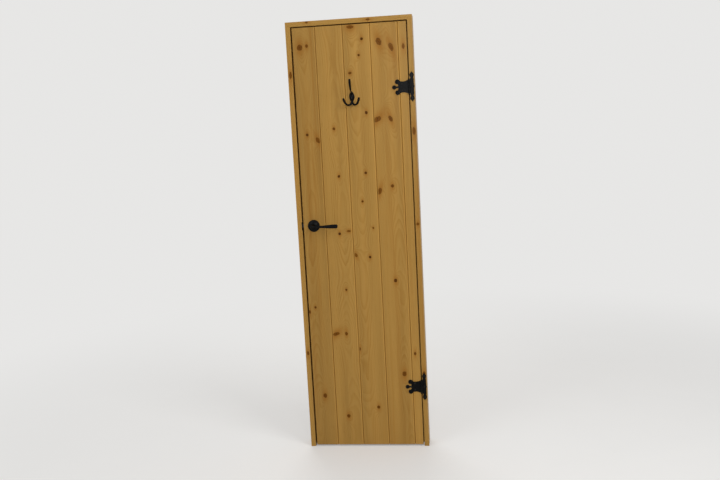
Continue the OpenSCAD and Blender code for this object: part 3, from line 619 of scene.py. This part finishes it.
def latch_steel():
    """Dull plated steel with fine brush marks along its height, its dark colour partly a painted shade for
    the bolt deep in the gap.
    """
    if "plated_steel" in bpy.data.materials:
        return bpy.data.materials["plated_steel"]
    material, tree, shader, place = new_material("plated_steel")
    brush = noise(tree, place, (2200, 2200, 60), 2.0, 0.6)
    patch = noise(tree, place, (90, 90, 90), 3.0)
    colour = shaded(tree, rgba(settings().steel), calc(tree, "MULTIPLY_ADD", patch, 0.35, 0.80))
    rough = calc(tree, "MULTIPLY_ADD", brush, 0.18, calc(tree, "MULTIPLY_ADD", patch, 0.15, 0.38))
    feed_all(tree, shader, {"Base Color": colour, "Roughness": rough, "Metallic": 1.0})
    bump(tree, shader, brush, 0.00004, 0.5)
    return material


# Object and mesh helpers

def add_object(name, data):
    made = bpy.data.objects.new(name, data)
    bpy.context.scene.collection.objects.link(made)
    return made


def finished_mesh(name, bm):
    """Makes a mesh of a bmesh and frees it."""
    mesh = bpy.data.meshes.new(name)
    bm.to_mesh(mesh)
    bm.free()
    return mesh


def clean(bm, dist):
    """Merges vertices that are within dist, and turns all faces outwards."""
    bmesh.ops.remove_doubles(bm, verts=bm.verts, dist=dist)
    bmesh.ops.recalc_face_normals(bm, faces=bm.faces)


def dress(node, material, arris, segments=2):
    """Softens a CAD piece's arrises and gives it its material."""
    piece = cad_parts[node]
    weld = piece.modifiers.new("weld", "WELD")
    weld.merge_threshold = WELD
    flat = piece.modifiers.new("flat_faces", "DECIMATE")
    flat.decimate_type = "DISSOLVE"
    flat.angle_limit = FLAT_ANGLE
    soften = piece.modifiers.new("arris", "BEVEL")
    soften.width = arris
    soften.segments = segments
    soften.limit_method = "ANGLE"
    soften.angle_limit = ARRIS_ANGLE
    if piece.material_slots:
        for place in piece.material_slots:
            place.link = "OBJECT"
            place.material = material
    else:
        piece.data.materials.append(material)


def new_piece(name, bm, body, material, replaced=(), sharp=40):
    """Makes an object of a bmesh, smooth apart from its sharp edges, and gives it its place."""
    clean(bm, FINE_WELD)
    mesh = finished_mesh(name, bm)
    piece = add_object(name, mesh)
    mesh.shade_smooth()
    mesh.set_sharp_from_angle(angle=math.radians(sharp))
    mesh.materials.append(material)
    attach(piece, body)
    if replaced:
        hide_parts(*replaced)
    return piece


def take_mesh(bm, extra):
    """Adds a finished bmesh to another one."""
    mesh = finished_mesh("part", extra)
    bm.from_mesh(mesh)
    bpy.data.meshes.remove(mesh)


def everything(bm):
    return list(bm.verts) + list(bm.edges) + list(bm.faces)


def drawn_out(bm, edges):
    """Draws a ring of edges out, and gives the new ring's vertices and edges."""
    grown = bmesh.ops.extrude_edge_only(bm, edges=edges)["geom"]
    verts = [part for part in grown if isinstance(part, bmesh.types.BMVert)]
    found = set(verts)
    return verts, [part for part in grown
                   if isinstance(part, bmesh.types.BMEdge) and found.issuperset(part.verts)]


def turned(outline, steps=96):
    """A solid turned round Z from points of (radius, height) in mm, from axis to axis or closed."""
    bm = bmesh.new()
    verts = [bm.verts.new((radius * MM, 0.0, height * MM)) for radius, height in outline]
    edges = [bm.edges.new(pair) for pair in zip(verts, verts[1:])]
    if outline[0][0] > 0:
        edges.append(bm.edges.new((verts[-1], verts[0])))
    bmesh.ops.spin(bm, geom=verts + edges, cent=(0, 0, 0), axis=UP, angle=math.tau, steps=steps,
                   use_merge=True, use_duplicate=False)
    clean(bm, FINE_WELD)
    return bm


def turned_forward(outline, steps):
    """A turned solid whose axis points out of the leaf's face."""
    bm = turned(outline, steps)
    bmesh.ops.rotate(bm, matrix=Matrix.Rotation(math.pi / 2, 3, "X"), cent=(0, 0, 0), verts=bm.verts)
    return bm


def set_out(x_way, y_way, z_way, origin):
    """The matrix that takes X, Y and Z to three ways, and the origin to a place."""
    place = Matrix((x_way, y_way, z_way)).transposed().to_4x4()
    place.translation = origin
    return place


def ring_place(middle, ahead, normal, wide, deep):
    """The matrix that sets a unit circle square to its bar: wide along the normal, deep across it."""
    across = ahead.cross(normal).normalized()
    return set_out(normal * wide, across * deep, ahead, middle)


def bend(points, t):
    """A point on a cubic curve with four control points, and the way that it leads."""
    a, b, c, d = points
    u = 1.0 - t
    point = a * u ** 3 + b * 3 * u * u * t + c * 3 * u * t * t + d * t ** 3
    way = (b - a) * u * u + (c - b) * 2 * u * t + (d - c) * t * t
    return point, way.normalized()


def size_at(sizes, t):
    """Width and depth at a place from 0 to 1 along a bar, from sizes that are evenly spaced."""
    at = min(max(t, 0.0), 1.0) * (len(sizes) - 1)
    first = min(int(at), len(sizes) - 2)
    share = at - first
    share = share * share * (3 - 2 * share) * 0.5 + share * 0.5
    return [p + (q - p) * share for p, q in zip(sizes[first], sizes[first + 1])]


def swept_bar(points, sizes, normal, tip=1.0, rings=28, tip_rings=7):
    """A bar drawn along a curve from a round blank, with a tip that is round or blunter, in mm."""
    places = []
    for i in range(rings + 1):
        point, way = bend(points, i / rings)
        wide, deep = size_at(sizes, i / rings)
        places.append(ring_place(point, way, normal, wide, deep))
    point, way = bend(points, 1.0)
    wide, deep = sizes[-1]
    for i in range(1, tip_rings + 1):
        angle = math.pi / 2 * i / (tip_rings + 0.3)
        places.append(ring_place(point + way * tip * wide * math.sin(angle), way, normal,
                                 wide * math.cos(angle), deep * math.cos(angle)))
    bm = bmesh.new()
    verts = bmesh.ops.create_circle(bm, cap_ends=True, segments=settings().bar_sides, radius=1.0)["verts"]
    edges = list(bm.edges)
    bmesh.ops.transform(bm, matrix=places[0], verts=verts)
    for before, after in zip(places, places[1:]):
        verts, edges = drawn_out(bm, edges)
        bmesh.ops.transform(bm, matrix=after @ before.inverted(), verts=verts)
    bmesh.ops.contextual_create(bm, geom=edges)
    bmesh.ops.scale(bm, vec=(MM, MM, MM), verts=bm.verts)
    bmesh.ops.recalc_face_normals(bm, faces=bm.faces)
    return bm


def fused(bm, smooth_steps):
    """Fuses overlapping shells into one casting with soft joints."""
    blank = add_object("casting", finished_mesh("casting", bm))
    remesh = blank.modifiers.new("fuse", "REMESH")
    remesh.mode = "VOXEL"
    remesh.voxel_size = settings().casting_voxel
    relax = blank.modifiers.new("relax", "SMOOTH")
    relax.factor = 0.5
    relax.iterations = smooth_steps
    ready = bpy.data.meshes.new_from_object(blank.evaluated_get(bpy.context.evaluated_depsgraph_get()))
    bpy.data.objects.remove(blank)
    result = bmesh.new()
    result.from_mesh(ready)
    bpy.data.meshes.remove(ready)
    return result


def slotted_head(radius, rise, slot=0.0011, depth=0.0009):
    """A round screw head on Z = 0 with a slot along Y, and a short neck below it."""
    r, h = radius / MM, rise / MM
    bm = turned([(0, h), (0.35 * r, 0.96 * h), (0.62 * r, 0.82 * h), (0.84 * r, 0.55 * h),
                 (0.97 * r, 0.2 * h), (r, 0), (0.9 * r, -0.3), (0, -0.3)], 24)
    for side in (-1, 1):
        bmesh.ops.bisect_plane(bm, geom=everything(bm), dist=ON_PLANE, plane_co=(side * slot / 2, 0, 0),
                               plane_no=(1, 0, 0))
    top = [face for face in bm.faces
           if abs(face.calc_center_median().x) < slot / 2 and face.normal.z > 0.05]
    bmesh.ops.delete(bm, geom=top, context="FACES_KEEP_BOUNDARY")
    low, rim = drawn_out(bm, [edge for edge in bm.edges if len(edge.link_faces) == 1])
    for vert in low:
        vert.co.z = rise - depth
    bmesh.ops.contextual_create(bm, geom=rim)
    bmesh.ops.recalc_face_normals(bm, faces=bm.faces)
    return bm


def screws(name, places, head, body, material):
    """Screw heads of (radius, rise) at rows of (point, outward axis, turn of the slot in degrees)."""
    mesh = finished_mesh("screw_head", slotted_head(*head))
    bm = bmesh.new()
    for point, axis, turn in places:
        before = len(bm.verts)
        bm.from_mesh(mesh)
        bm.verts.ensure_lookup_table()
        facing = Vector(axis).to_track_quat("Z", "Y").to_matrix().to_4x4()
        place = Matrix.Translation(point) @ facing @ Matrix.Rotation(math.radians(turn), 4, "Z")
        bmesh.ops.transform(bm, matrix=place, verts=bm.verts[before:])
    bpy.data.meshes.remove(mesh)
    return new_piece(name, bm, body, material, sharp=30)


def almond_plate(width, height, thick, sunk=1.0):
    """A flat almond of two arcs that meet in points above and below, with its back sunk, in mm."""
    radius = (height ** 2 + width ** 2) / (4 * width)
    half = math.atan2(height / 2, radius - width / 2)
    bm = bmesh.new()
    for side in (-1, 1):
        start = bm.verts.new((0, 0, -side * height / 2 * MM))
        bmesh.ops.spin(bm, geom=[start], cent=(side * (width / 2 - radius) * MM, 0, 0), axis=(0, -1, 0),
                       angle=2 * half, steps=28, use_merge=False)
    bmesh.ops.remove_doubles(bm, verts=bm.verts, dist=WELD)
    face = bmesh.ops.contextual_create(bm, geom=list(bm.edges))["faces"]
    grown = bmesh.ops.extrude_face_region(bm, geom=face)["geom"]
    front = [part for part in grown if isinstance(part, bmesh.types.BMVert)]
    bmesh.ops.translate(bm, vec=(0, -thick * MM, 0), verts=front)
    back = [vert for vert in bm.verts if vert.co.y > -0.0001]
    bmesh.ops.translate(bm, vec=(0, sunk * MM, 0), verts=back)
    bmesh.ops.recalc_face_normals(bm, faces=bm.faces)
    return bm


def lemon_boss(radius, half_length, sunk):
    """A pointed boss turned round Z, with its axis sunk behind the plate, in mm."""
    arc = (half_length ** 2 + radius ** 2) / (2 * radius)
    half = math.asin(half_length / arc)
    bm = bmesh.new()
    start = bm.verts.new((0, 0, -half_length * MM))
    bmesh.ops.spin(bm, geom=[start], cent=((radius - arc) * MM, 0, 0), axis=(0, -1, 0), angle=2 * half,
                   steps=24, use_merge=False)
    bmesh.ops.spin(bm, geom=everything(bm), cent=(0, 0, 0), axis=UP, angle=math.tau, steps=48, use_merge=True)
    clean(bm, WELD)
    bmesh.ops.translate(bm, vec=(0, sunk * MM, 0), verts=bm.verts)
    return bm


# Pieces

def dress_timber(parts, first, light):
    for number, part in enumerate(parts, first):
        dress(part, pine(part, number, light), settings().arris)


class PLANK_DOOR_OT_boards(bpy.types.Operator):
    """Gives the face boards their knotty varnished pine"""

    bl_idname = "plank_door.boards"
    bl_label = "Face boards"

    def execute(self, context):
        edges = [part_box(board)[0].x for board in BOARDS[1:]]
        for number, board in enumerate(BOARDS):
            joints = edges[max(number - 1, 0):number + 1]
            dress(board, pine(board, number + 1, 1.0, joints), settings().arris)
        return {"FINISHED"}


class PLANK_DOOR_OT_backing(bpy.types.Operator):
    """Gives the stiles, rails and braces behind the boards their timber"""

    bl_idname = "plank_door.backing"
    bl_label = "Stiles, rails and braces"

    def execute(self, context):
        dress_timber(BACKING, 11, 0.98)
        return {"FINISHED"}


class PLANK_DOOR_OT_frame(bpy.types.Operator):
    """Gives the jambs, the head and the stops their timber"""

    bl_idname = "plank_door.frame"
    bl_label = "Door frame"

    def execute(self, context):
        dress_timber(FRAME_PARTS, 21, 1.0)
        return {"FINISHED"}


class PLANK_DOOR_OT_hinges(bpy.types.Operator):
    """Finishes the hinges' plates and pins and screws them on"""

    bl_idname = "plank_door.hinges"
    bl_label = "Hinges"

    def execute(self, context):
        look = settings()
        # The screw heads get the scuffed iron, whose paler patches are partly a painted glint
        iron, scuffed_glinting_heads = black_iron(), black_iron(look.head_scuff_and_glint)
        head = (look.screw_radius, HINGE_HEAD_RISE)
        for hinge in ("upper_hinge", "lower_hinge"):
            for part in ("door_plate", "frame_plate", "pin"):
                dress(f"{hinge}_{part}", iron, look.iron_arris, 3)
            pin = middle_of(f"{hinge}_pin")
            for body, rows in (("leaf", LEAF_SCREWS), ("frame", FRAME_SCREWS)):
                places = [((pin.x + x * MM, FRONT - HINGE_PLATE, pin.z + z * MM), (0, -1, 0), turn)
                          for x, z, turn in rows]
                screws(f"{hinge}_{body}_screws", places, head, body, scuffed_glinting_heads)
        return {"FINISHED"}


class PLANK_DOOR_OT_latch(bpy.types.Operator):
    """Finishes the tubular latch, its plates, the spindle and their screws"""

    bl_idname = "plank_door.latch"
    bl_label = "Latch"

    def execute(self, context):
        for part in ("latch_case", "spindle", "latch_bolt"):
            dress(part, latch_steel(), LATCH_ARRIS, 3)
        for part in ("latch_forend", "strike_plate"):
            dress(part, black_iron(), LATCH_ARRIS, 3)
        rows = [("forend_screws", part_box("latch_forend")[0].x, -1, (-20, 80), "leaf"),
                ("strike_screws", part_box("strike_plate")[1].x, 1, (-30, 50), "frame")]
        for name, face, way, turns, body in rows:
            places = [((face, HANDLE.y, HANDLE.z + side * LATCH_SCREW_REACH), (way, 0, 0), turn)
                      for side, turn in zip((-1, 1), turns)]
            screws(name, places, LATCH_HEAD, body, black_iron(settings().head_scuff_and_glint))
        return {"FINISHED"}


class PLANK_DOOR_OT_roses(bpy.types.Operator):
    """Turns the two domed roses behind the levers"""

    bl_idname = "plank_door.roses"
    bl_label = "Roses"

    def execute(self, context):
        # From the hub's hole over the back to the rim's bead, the groove inside it and the dome
        r, hole = ROSE_RADIUS / MM, HUB_RADIUS_MM + 0.05
        outline = [
            (hole, 0), (r - 0.5, 0), (r, 0.5), (r, 1.5), (r - 0.2, 2.2), (r - 0.7, 2.75), (r - 1.5, 3.0),
            (r - 2.2, 2.8), (r - 2.65, 2.35), (r - 3.3, 2.6), (20.0, 3.85), (17.0, 5.05), (14.0, 6.0),
            (11.5, 6.65), (9.2, 7.1), (8.5, 7.2), (hole, 6.9),
        ]
        for name, face, way in (("front_rose", FRONT, 1), ("back_rose", BACK, -1)):
            bm = turned(outline)
            stand = Matrix.Rotation(way * math.pi / 2, 4, "X")
            place = Matrix.Translation((HANDLE.x, face, HANDLE.z)) @ stand
            bmesh.ops.transform(bm, matrix=place, verts=bm.verts)
            new_piece("turned_" + name, bm, "leaf", black_iron(), [name], sharp=50)
        return {"FINISHED"}


class PLANK_DOOR_OT_levers(bpy.types.Operator):
    """Casts the two levers: a turned hub with its collar, and a grip that widens to its round tip"""

    bl_idname = "plank_door.levers"
    bl_label = "Levers"

    def execute(self, context):
        out, tip, bluntness = LEVER_OUT / MM, LEVER_TIP / MM, 0.72
        hub = out - HUB_RADIUS_MM
        way = [Vector((0, -hub, 0)), Vector((34.1, 2 - out, 0)), Vector((66, -hub - 1, 0)),
               Vector((tip - 6.5, 4.5 - out, 0))]
        sizes = [(5.6, 5.6), (4.4, 4.5), (5.1, 4.5), (6.7, 4.3), (8.1, 4.1), (8.8, 3.9)]
        boss = [(0, 12), (7.9, 12), (7.8, 20), (7.3, 27), (7.3, 33), (7.7, 38), (7.9, hub), (7.4, hub + 3),
                (6.0, hub + 5.6), (3.5, hub + 7.3), (0, hub + 7.9)]
        collar = [(0, 3), (7.95, 3), (7.95, 8.3), (9.6, 8.3), (10, 8.7), (10, 10.7), (9.6, 11.2),
                  (8.9, 11.6), (8.5, 12.4), (8.3, 13.4), (7.7, 14.2), (0, 14.2)]
        for name, face, side in (("front_lever", FRONT, 1), ("back_lever", BACK, -1)):
            bm = swept_bar(way, sizes, UP, bluntness)
            take_mesh(bm, turned_forward(boss, 48))
            bm = fused(bm, 8)
            take_mesh(bm, turned_forward(collar, 64))
            if side < 0:
                bmesh.ops.scale(bm, vec=(1, -1, 1), verts=bm.verts)
            bmesh.ops.translate(bm, vec=(HANDLE.x, face, HANDLE.z), verts=bm.verts)
            new_piece("cast_" + name, bm, "lever", black_iron(), [name])
        return {"FINISHED"}


class PLANK_DOOR_OT_coat_hook(bpy.types.Operator):
    """Casts the triple coat hook and screws it on"""

    bl_idname = "plank_door.coat_hook"
    bl_label = "Coat hook"

    def execute(self, context):
        # The long upper prong first, then the two lower ones, the almond and the boss on it, in mm
        out, across = Vector((0, -1, 0)), Vector((1, 0, 0))
        way = [out * 2 + UP * 8, out * 16.65 + UP * 22, out * 44.4 + UP * 22, out * 54.7 + UP * 66]
        sizes = [(5.0, 5.0), (3.0, 3.0), (2.5, 2.5), (3.4, 3.4), (4.6, 4.6), (4.9, 4.9)]
        bm = swept_bar(way, sizes, across)
        sizes = [(4.8, 4.8), (4.3, 4.3), (4.0, 4.0), (4.0, 4.0), (4.5, 4.5), (4.8, 4.8)]
        for side in (-1, 1):
            tip = out * 27.9 + across * 32 * side
            way = [out * 2 - UP * 19, tip * 0.12 - UP * 40.5, tip * 0.8 - UP * 40.5, tip - UP * 9]
            take_mesh(bm, swept_bar(way, sizes, tip.cross(UP).normalized()))
        take_mesh(bm, almond_plate(22.6, 45.6, 2.5))
        take_mesh(bm, lemon_boss(10.9, 22.0, 3.0))
        bm = fused(bm, 7)
        bmesh.ops.translate(bm, vec=HOOK_MIDDLE, verts=bm.verts)
        cut = bmesh.ops.bisect_plane(bm, geom=everything(bm), dist=ON_PLANE, plane_co=(0, FRONT, 0),
                                     plane_no=(0, 1, 0), clear_outer=True)["geom_cut"]
        back = [part for part in cut if isinstance(part, bmesh.types.BMEdge)]
        bmesh.ops.contextual_create(bm, geom=back)
        new_piece("cast_coat_hook", bm, "leaf", black_iron(), ["coat_hook"], sharp=70)
        places = [((HOOK_MIDDLE.x, FRONT - proud * MM, HOOK_MIDDLE.z + z * MM), (0, -1, 0), turn)
                  for proud, z, turn in HOOK_SCREWS]
        screws("coat_hook_screws", places, HOOK_HEAD, "leaf", black_iron(settings().head_scuff_and_glint))
        return {"FINISHED"}


class PLANK_DOOR_OT_jamb_screws(bpy.types.Operator):
    """Sets the countersunk fixing screws in the jambs"""

    bl_idname = "plank_door.jamb_screws"
    bl_label = "Jamb screws"

    def execute(self, context):
        # A slot's turn is its screw's height taken as degrees
        for jamb, side, way in (("hinge_jamb", 0, 1), ("latch_jamb", 1, -1)):
            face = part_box(jamb)[side].x + way * JAMB_SCREW_SUNK * MM
            places = [((face, JAMB_SCREW_DEPTH * MM, z * MM), (-way, 0, 0), z) for z in JAMB_SCREW_LEVELS]
            screws(jamb + "_screws", places, JAMB_HEAD, "frame", latch_steel())
        return {"FINISHED"}


# Stage

def seen_ray(tree):
    """1 for the rays that show the backdrop: straight to the camera, in a reflection or through glass."""
    rays = tree.nodes.new("ShaderNodeLightPath").outputs
    turned_back = calc(tree, "MAXIMUM", rays["Is Glossy Ray"], rays["Is Transmission Ray"])
    return calc(tree, "MAXIMUM", rays["Is Camera Ray"], turned_back)


def lay_floor():
    """A round floor that fades into the pale backdrop away from the door, and keeps its shadow."""
    look = settings()
    bm = bmesh.new()
    bmesh.ops.create_circle(bm, cap_ends=True, segments=96, radius=FLOOR_RADIUS)
    bmesh.ops.translate(bm, vec=(MIDDLE_X, 0, 0), verts=bm.verts)
    floor = add_object("studio_floor", finished_mesh("studio_floor", bm))
    material, tree, shader, place = new_material("studio_floor")
    shade = calc(tree, "MULTIPLY_ADD", noise(tree, place, (3, 3, 3)), 0.03, 0.985)
    seen = seen_ray(tree)
    feed_all(tree, shader, {
        "Base Color": shaded(tree, rgba(look.floor), shade), "Roughness": 0.9, "Specular IOR Level": 0.1,
        "Emission Color": (1, 1, 1, 1), "Emission Strength": calc(tree, "MULTIPLY", seen, FLOOR_GLOW)})
    away = vector_calc(tree, "LENGTH", place, output="Value")
    glow = tree.nodes.new("ShaderNodeEmission")
    glow.inputs["Color"].default_value = rgba(look.backdrop)
    far = calc(tree, "MULTIPLY", seen, ease(tree, away, *FLOOR_FADE))
    mix_shaders(tree, far, shader, glow, tree.nodes["Material Output"])
    floor.data.materials.append(material)


def hang_lamps():
    """Lights the door with a pale sky, which the camera sees as the backdrop, and four soft lamps."""
    world = bpy.data.worlds.new("studio")
    bpy.context.scene.world = world
    world.use_nodes = True
    tree = world.node_tree
    sky = tree.nodes["Background"]
    feed_all(tree, sky, {"Color": (1, 1, 1, 1), "Strength": SKY_STRENGTH})
    backdrop = tree.nodes.new("ShaderNodeBackground")
    backdrop.inputs["Color"].default_value = rgba(settings().backdrop)
    mix_shaders(tree, seen_ray(tree), sky, backdrop, tree.nodes["World Output"])
    for name, (place, size, power) in LAMPS.items():
        data = bpy.data.lights.new(name, "AREA")
        data.shape = "SQUARE"
        data.size = size
        data.energy = power
        lamp = add_object(name, data)
        lamp.location = place
        lamp.rotation_euler = (LAMP_AIM - Vector(place)).to_track_quat("-Z", "Y").to_euler()


def set_camera():
    """Stands the camera where the photograph was taken from, turned to the door, with the same lean."""
    data = bpy.data.cameras.new("camera")
    data.lens = CAMERA_LENS
    camera = add_object("camera", data)
    ahead = (CAMERA_AIM - CAMERA_PLACE).normalized()
    right = ahead.cross(UP).normalized()
    up = right.cross(ahead)
    lean = math.radians(CAMERA_LEAN)
    camera.matrix_world = set_out(right * math.cos(lean) + up * math.sin(lean),
                                  up * math.cos(lean) - right * math.sin(lean), -ahead, CAMERA_PLACE)
    bpy.context.scene.camera = camera


class PLANK_DOOR_OT_stage(bpy.types.Operator):
    """Lays the floor and backdrop, hangs the lamps and sets up the camera"""

    bl_idname = "plank_door.stage"
    bl_label = "Stage"

    def execute(self, context):
        lay_floor()
        hang_lamps()
        set_camera()
        context.scene.view_settings.view_transform = "Standard"
        return {"FINISHED"}


STEPS = [
    PLANK_DOOR_OT_boards,
    PLANK_DOOR_OT_backing,
    PLANK_DOOR_OT_frame,
    PLANK_DOOR_OT_hinges,
    PLANK_DOOR_OT_latch,
    PLANK_DOOR_OT_roses,
    PLANK_DOOR_OT_levers,
    PLANK_DOOR_OT_coat_hook,
    PLANK_DOOR_OT_jamb_screws,
    PLANK_DOOR_OT_stage,
]


class PLANK_DOOR_PT_pieces(bpy.types.Panel):
    """Lists the door's pieces and their settings"""

    bl_idname = "PLANK_DOOR_PT_pieces"
    bl_label = "Plank Door"
    bl_space_type = "VIEW_3D"
    bl_region_type = "UI"
    bl_category = "Plank Door"

    def draw(self, context):
        for step in STEPS:
            self.layout.operator(step.bl_idname)
        for name in PlankDoorSettings.__annotations__:
            self.layout.prop(context.scene.plank_door, name)


CLASSES = [PlankDoorSettings, *STEPS, PLANK_DOOR_PT_pieces]


def register():
    for one in CLASSES:
        bpy.utils.register_class(one)
    bpy.types.Scene.plank_door = PointerProperty(type=PlankDoorSettings)


def unregister():
    del bpy.types.Scene.plank_door
    for one in reversed(CLASSES):
        bpy.utils.unregister_class(one)


def main():
    register()
    bpy.ops.plank_door.boards()
    bpy.ops.plank_door.backing()
    bpy.ops.plank_door.frame()
    bpy.ops.plank_door.hinges()
    bpy.ops.plank_door.latch()
    bpy.ops.plank_door.roses()
    bpy.ops.plank_door.levers()
    bpy.ops.plank_door.coat_hook()
    bpy.ops.plank_door.jamb_screws()
    bpy.ops.plank_door.stage()


if __name__ == "__main__":
    main()
